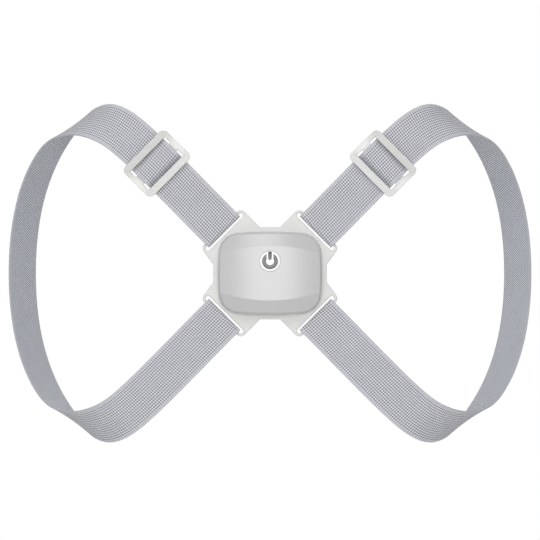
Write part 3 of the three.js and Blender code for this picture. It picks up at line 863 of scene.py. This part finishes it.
def woven(name, look, pit, top, edge, rib_share, pitch, slant, depth):
    """Woven polyester: pale threads, painted shade in the pits, a matt sheen, and bumps as high as the
    threads.
    """
    made, tree, shader = new_material(name)
    weave = add_node(tree, "ShaderNodeGroup", {
        "Run": add_node(tree, "ShaderNodeUVMap", uv_map="run").outputs[0],
        "Rib Pitch": rib_pitch(look),
        "Thread Pitch": pitch,
        "Slant": slant,
        "Ribbed Half Width": WEB_WIDTH / 2 - look.selvedge,
        "Rib Share": rib_share,
    }, node_tree=shared_group("woven_threads", weave_group)).outputs
    # The low places of the weave take the pit colour, which is painted shade in the pits between the threads.
    spread = add_node(tree, "ShaderNodeMapRange", {0: weave["Height"], 1: PIT_HEIGHT, 2: TOP_HEIGHT})
    threads = mixed_colour(tree, spread.outputs[0], pit, top)
    edged = mixed_colour(tree, weave["Selvedge"], threads, edge)
    drift = math_node(tree, "MULTIPLY_ADD", weave["Drift"], look.drift, 1 - look.drift / 2)
    surface(tree, shader, edged, drift, weave["Height"], depth)
    feed(tree, shader, {
        "Roughness": look.roughness, "Sheen Weight": SHEEN, "Sheen Roughness": SHEEN_ROUGHNESS,
    })
    return made


# What a user may change


def number(name, description, default, **settings):
    """A number property, with any further settings of it."""
    return FloatProperty(name=name, description=description, default=default, **settings)


def length(name, description, default):
    """A size property in metres."""
    return number(name, description, default, min=0.0, unit="LENGTH", precision=5)


def colour(name, description, default):
    """A colour property."""
    return FloatVectorProperty(name=name, description=description, default=default, size=4, min=0.0, max=1.0,
                               subtype="COLOR")


def fraction(name, description, default):
    """A property from 0 to 1."""
    return number(name, description, default, min=0.0, max=1.0, subtype="FACTOR")


class WebbingLook(bpy.types.PropertyGroup):
    """Sizes and colours of the webbing and its stitches."""

    rib_count: IntProperty(name="Ribs", description="Ribs across the webbing", default=16, min=4)
    rib_depth: length("Rib depth", "Depth of the valleys between the ribs", 0.00016)
    selvedge: length("Selvedge", "Width of the firm edge on each side", 0.00125)
    edge_radius: length("Edge radius", "Radius of the webbing's rounded edges", 0.0006)
    thread_pitch: length("Thread pitch", "Distance between the threads that cross the ribs", 0.00154)
    thread_slant: number("Thread slant", "Slope of the threads that cross the ribs", 0.1)
    thread_depth: length("Thread depth", "Height of the threads over the pits between them", 0.00025)
    # The pit colour is painted shade in the pits between the threads.
    pit_shade: colour("Pit colour", "Colour between the threads", (0.2, 0.2, 0.22, 1))
    top_colour: colour("Thread colour", "Colour on top of the threads", (0.8, 0.81, 0.86, 1))
    edge_colour: colour("Selvedge colour", "Colour of the firm edges", (0.66, 0.665, 0.71, 1))
    # The inner colours are darker than the outer ones: painted shade of the face turned from the light, over
    # the inner face's own diagonal weave. The inner pit colour is also painted shade in the pits.
    inner_pit_shade: colour("Inner pit colour", "Inner face between the threads", (0.24, 0.255, 0.29, 1))
    inner_top_shaded: colour("Inner colour", "Inner face on top of the threads", (0.71, 0.73, 0.78, 1))
    inner_edge_shaded: colour("Inner edge colour", "Inner face along its edges", (0.46, 0.475, 0.51, 1))
    inner_pitch: length("Inner pitch", "Distance between the diagonal threads inside", 0.0016)
    inner_slant: number("Inner slant", "Slope of the diagonal threads inside", 0.7)
    rib_share: fraction("Rib share", "How much the ribs count in the weave, beside the threads", 0.5)
    inner_rib_share: fraction("Inner rib share", "How much the ribs count on the inner face", 0.25)
    inner_depth_share: fraction("Inner depth share", "Height of the inner threads beside the outer", 0.5)
    roughness: fraction("Roughness", "Roughness of the threads", 0.85)
    drift: fraction("Tone drift", "How much the tone drifts along the webbing", 0.12)
    stitch_rows: IntProperty(name="Stitch rows", description="Rows of stitches at each sewn end", default=3)
    stitch_inset: length("Stitch inset", "Distance from a sewn end to its first row", 0.0025)
    stitch_row_gap: length("Stitch row gap", "Distance between two rows", 0.0032)
    stitch_pitch: length("Stitch pitch", "Distance between two stitches in a row", 0.0029)
    stitch_length: length("Stitch length", "Length of a stitch", 0.0024)
    stitch_radius: length("Stitch radius", "Half the thickness of the thread", 0.00022)
    stitch_span: length("Stitch span", "Width that a row of stitches covers", 0.0265)
    stitch_colour: colour("Stitch colour", "Colour of the sewing thread", (0.62, 0.63, 0.68, 1))


class CoverLook(bpy.types.PropertyGroup):
    """Sizes and colour of the housing's cover."""

    rim_radius: length("Rim radius", "Rounding of the rim", 0.001)
    draft: length("Draft", "How far the upper sides lean in from the rear to the rim", 0.0008)
    lower_draft: length("Lower draft", "How far the lower side leans in", 0.001)
    lip_radius: length("Lip radius", "Rounding of the hole for the button", 0.00015)
    button_gap: length("Button gap", "Width of the gap round the button", 0.0001)
    crease_blend: length("Crease blend", "Height over which a crease is rounded", 0.0002)
    ring_points: IntProperty(name="Ring points", description="Points round the cover", default=400, min=40)
    front_rings: IntProperty(name="Front rings", description="Rings from the rim to the hole", default=100)
    colour: colour("Colour", "Colour of the cover", (0.55, 0.55, 0.55, 1))
    roughness: fraction("Roughness", "Roughness of the cover", 0.28)


class ButtonLook(bpy.types.PropertyGroup):
    """Sizes and colours of the button and its symbol."""

    edge_radius: length("Edge radius", "Rounding of the button's edge", 0.0003)
    mark_dome: number("Mark dome", "How square the symbol's dome is, 2 for an ellipse", 3.0, min=2.0)
    colour: colour("Colour", "Colour of the button", (0.95, 0.95, 0.95, 1))
    mark_colour: colour("Mark colour", "Colour of the symbol", (0.1, 0.1, 0.1, 1))


class PlateLook(bpy.types.PropertyGroup):
    """Size and colour of the plate."""

    edge_radius: length("Edge radius", "Rounding of the plate's edges", 0.00018)
    colour: colour("Colour", "Colour of the plate", (0.76, 0.76, 0.745, 1))


class SliderLook(bpy.types.PropertyGroup):
    """Size and colour of the sliders."""

    edge_radius: length("Edge radius", "Rounding of the sliders' edges", 0.00032)
    colour: colour("Colour", "Colour of the sliders", (0.62, 0.62, 0.605, 1))


class StageLook(bpy.types.PropertyGroup):
    """The floor, the lights and the camera."""

    floor_height: number("Floor height", "Height of the floor", -1.2, unit="LENGTH")
    floor_reach: length("Floor reach", "Half the width of the floor", 12.0)
    floor_colour: colour("Floor colour", "Colour of the floor", (0.85, 0.85, 0.85, 1))
    floor_glow: fraction("Floor glow", "How much paler the camera sees the floor", 0.6)
    ambient: number("Ambient", "Strength of the light from all round", 0.385)
    lean: fraction("Lean", "How much more of that light comes from the front and upper left", 0.55)
    key_power: number("Key power", "Power of the light round the camera", 24.0, unit="POWER")
    top_power: number("Top power", "Power of the light from above the camera", 8.3, unit="POWER")
    back_power: number("Back power", "Power of the light behind the part", 25.0, unit="POWER")
    camera_distance: length("Camera distance", "From the camera to the pad on the plate", 2.4)
    camera_height: number("Camera height", "Height of the camera", 0.0022, unit="LENGTH")
    focal_length: number("Focal length", "Lens of the camera in millimetres", 236.3, unit="CAMERA")


# Operators


class POSTURE_OT_stage(bpy.types.Operator):
    """Makes the pale floor, the soft lights, the white surround and the camera."""

    bl_idname = "posture.stage"
    bl_label = "Make the stage"

    def execute(self, context):
        look = context.scene.posture_stage
        reach = look.floor_reach
        corners = [(-reach, -reach), (reach, -reach), (reach, reach), (-reach, reach)]
        mesh = bpy.data.meshes.new("floor")
        mesh.from_pydata([(x, y, look.floor_height) for x, y in corners], [], [(0, 1, 2, 3)])
        made, tree, shader = new_material("floor")
        seen = add_node(tree, "ShaderNodeLightPath").outputs["Is Camera Ray"]
        feed(tree, shader, {
            "Base Color": look.floor_colour,
            "Roughness": 0.8,
            "Emission Color": look.floor_colour,
            "Emission Strength": math_node(tree, "MULTIPLY", seen, look.floor_glow),
        })
        mesh.materials.append(made)
        floor = add_object("floor", mesh)
        for name, (place, width, height) in LIGHTS.items():
            self.light(name, getattr(look, name + "_power"), place, width, height)
        context.scene.world = self.surround(look.ambient, look.lean)
        context.scene.camera = self.camera(look)
        context.scene.view_settings.view_transform = "Standard"
        return {"FINISHED"}

    def light(self, name, power, place, width, height):
        """Adds a rectangle of light at place that faces the part and isn't seen itself."""
        data = bpy.data.lights.new(name, "AREA")
        data.shape = "RECTANGLE"
        data.size = width
        data.size_y = height
        data.energy = power
        lamp = add_object(name, data)
        lamp.location = place
        lamp.rotation_euler = (-Vector(place)).to_track_quat("-Z", "Y").to_euler()
        lamp.visible_camera = False

    def surround(self, strength, lean):
        """White as the camera sees it, and as a light softer, strongest from the front and upper left."""
        world = bpy.data.worlds.new("surround")
        world.use_nodes = True
        tree = world.node_tree
        way = add_node(tree, "ShaderNodeTexCoord").outputs["Generated"]
        side = add_node(tree, "ShaderNodeVectorMath", {0: way, 1: BRIGHT_WAY}, operation="DOT_PRODUCT")
        shaded = add_node(tree, "ShaderNodeMapRange", {
            0: side.outputs["Value"], 1: DARK_END, 2: BRIGHT_END,
            3: strength * (1 - lean), 4: strength * (1 + lean),
        })
        seen = add_node(tree, "ShaderNodeLightPath").outputs["Is Camera Ray"]
        mixed = add_node(tree, "ShaderNodeMapRange", {0: seen, 1: 0.0, 2: 1.0, 3: shaded.outputs[0], 4: 1.0})
        feed(tree, tree.nodes["Background"], {"Strength": mixed.outputs[0], "Color": (1, 1, 1, 1)})
        return world

    def camera(self, look):
        """Adds a camera straight in front of the part, as in the photograph."""
        data = bpy.data.cameras.new("camera")
        data.lens = look.focal_length
        data.clip_end = VIEW_REACH
        eye = add_object("camera", data)
        eye.location = (0, -look.camera_distance, look.camera_height)
        eye.rotation_euler = (QUARTER, 0, 0)
        return eye


class POSTURE_OT_plate(bpy.types.Operator):
    """Makes the plate with softly rounded edges and a fine matt grain."""

    bl_idname = "posture.plate"
    bl_label = "Make the plate"

    def execute(self, context):
        look = context.scene.posture_plate
        finish = plastic("plate_plastic", look.colour, roughness=0.5, grain_size=0.00035, grain_depth=0.00002)
        mesh = merged_copy("harness_plate", "plate")
        piece = add_piece("plate", mesh, "harness", ["harness_plate"], [finish])
        round_edges(piece, look.edge_radius)
        return {"FINISHED"}


class POSTURE_OT_sliders(bpy.types.Operator):
    """Makes both three-bar sliders with rounded edges."""

    bl_idname = "posture.sliders"
    bl_label = "Make the sliders"

    def execute(self, context):
        look = context.scene.posture_slider
        finish = plastic("slider_plastic", look.colour, roughness=0.24, grain_size=0.0012,
                         grain_depth=0.000001, gloss=1.0)
        for side in ("left", "right"):
            node = "slider_" + side
            mesh = merged_copy(node, "adjuster_" + side)
            piece = add_piece("adjuster_" + side, mesh, "harness", [node], [finish])
            round_edges(piece, look.edge_radius)
        return {"FINISHED"}


class POSTURE_OT_cover(bpy.types.Operator):
    """Makes the housing's cover with its crowned front, creased bands and rounded rim."""

    bl_idname = "posture.cover"
    bl_label = "Make the cover"

    def execute(self, context):
        look = context.scene.posture_cover
        finish = plastic("cover_plastic", look.colour, look.roughness, grain_size=0.0003,
                         grain_depth=0.000006, tone_amount=0.01, gloss=1.0)
        mesh = cover_mesh("cover", look)
        add_piece("cover", mesh, "harness", ["housing_cover"], [finish])
        return {"FINISHED"}


class POSTURE_OT_button(bpy.types.Operator):
    """Makes the button and the two parts of its power symbol."""

    bl_idname = "posture.button"
    bl_label = "Make the button"

    def execute(self, context):
        look = context.scene.posture_button
        white = plastic("button_plastic", look.colour, roughness=0.4, grain_size=0.0003,
                        grain_depth=0.000006, tone_amount=0.01)
        dark = plastic("mark_paint", look.mark_colour, roughness=0.26, grain_size=0.0003,
                       grain_depth=0.000004, tone_amount=0.04, gloss=0.75)
        add_piece("button", button_mesh("button", look), "button", ["power_button"], [white])
        for part, build in (("arc", mark_arc_mesh), ("bar", mark_bar_mesh)):
            mesh = build("symbol_" + part, look)
            add_piece("symbol_" + part, mesh, "button", ["power_mark_" + part], [dark])
        return {"FINISHED"}


class POSTURE_OT_webbing(bpy.types.Operator):
    """Makes both straps of ribbed webbing and the stitches at their sewn ends."""

    bl_idname = "posture.webbing"
    bl_label = "Make the webbing"

    def execute(self, context):
        look = context.scene.posture_webbing
        outer = woven("webbing_outer", look, look.pit_shade, look.top_colour, look.edge_colour,
                      look.rib_share, look.thread_pitch, look.thread_slant, look.thread_depth)
        # The inner finish is darker than the outer: painted shade on the inner face and both rounded edges,
        # with its own diagonal weave.
        inner = woven("webbing_inner", look, look.inner_pit_shade, look.inner_top_shaded,
                      look.inner_edge_shaded, look.inner_rib_share, look.inner_pitch, look.inner_slant,
                      look.thread_depth * look.inner_depth_share)
        made, tree, shader = new_material("sewing_thread")
        feed(tree, shader, {"Base Color": look.stitch_colour, "Roughness": 0.7})
        for side, sign in (("left", -1), ("right", 1)):
            mesh = strap_mesh("webbing_" + side, look, sign)
            add_piece("webbing_" + side, mesh, "harness", ["strap_" + side], [outer, inner])
            stitches = stitch_mesh("stitches_" + side, look, sign)
            add_piece("stitches_" + side, stitches, "harness", (), [made])
        return {"FINISHED"}


class POSTURE_PT_panel(bpy.types.Panel):
    """Lists the looks and the operators."""

    bl_idname = "POSTURE_PT_panel"
    bl_label = "Posture corrector"
    bl_space_type = "VIEW_3D"
    bl_region_type = "UI"
    bl_category = "Posture corrector"

    def draw(self, context):
        for operator, _, name in STEPS:
            box = self.layout.box()
            settings = getattr(context.scene, name)
            for key in settings.bl_rna.properties.keys():
                if key not in ("rna_type", "name"):
                    box.prop(settings, key)
            box.operator(operator.bl_idname)


# Each step's operator, its settings and their name in the scene, in the order in which they are run
STEPS = (
    (POSTURE_OT_stage, StageLook, "posture_stage"),
    (POSTURE_OT_plate, PlateLook, "posture_plate"),
    (POSTURE_OT_sliders, SliderLook, "posture_slider"),
    (POSTURE_OT_cover, CoverLook, "posture_cover"),
    (POSTURE_OT_button, ButtonLook, "posture_button"),
    (POSTURE_OT_webbing, WebbingLook, "posture_webbing"),
)


def register():
    for operator, look, name in STEPS:
        bpy.utils.register_class(look)
        bpy.utils.register_class(operator)
        setattr(bpy.types.Scene, name, PointerProperty(type=look))
    bpy.utils.register_class(POSTURE_PT_panel)


def unregister():
    bpy.utils.unregister_class(POSTURE_PT_panel)
    for operator, look, name in reversed(STEPS):
        delattr(bpy.types.Scene, name)
        bpy.utils.unregister_class(operator)
        bpy.utils.unregister_class(look)


def main():
    """Makes every piece."""
    register()
    for operator, _, _ in STEPS:
        group, name = operator.bl_idname.split(".")
        if getattr(getattr(bpy.ops, group), name)() != {"FINISHED"}:
            raise RuntimeError(f"{operator.bl_idname} didn't finish")


if __name__ == "__main__":
    main()
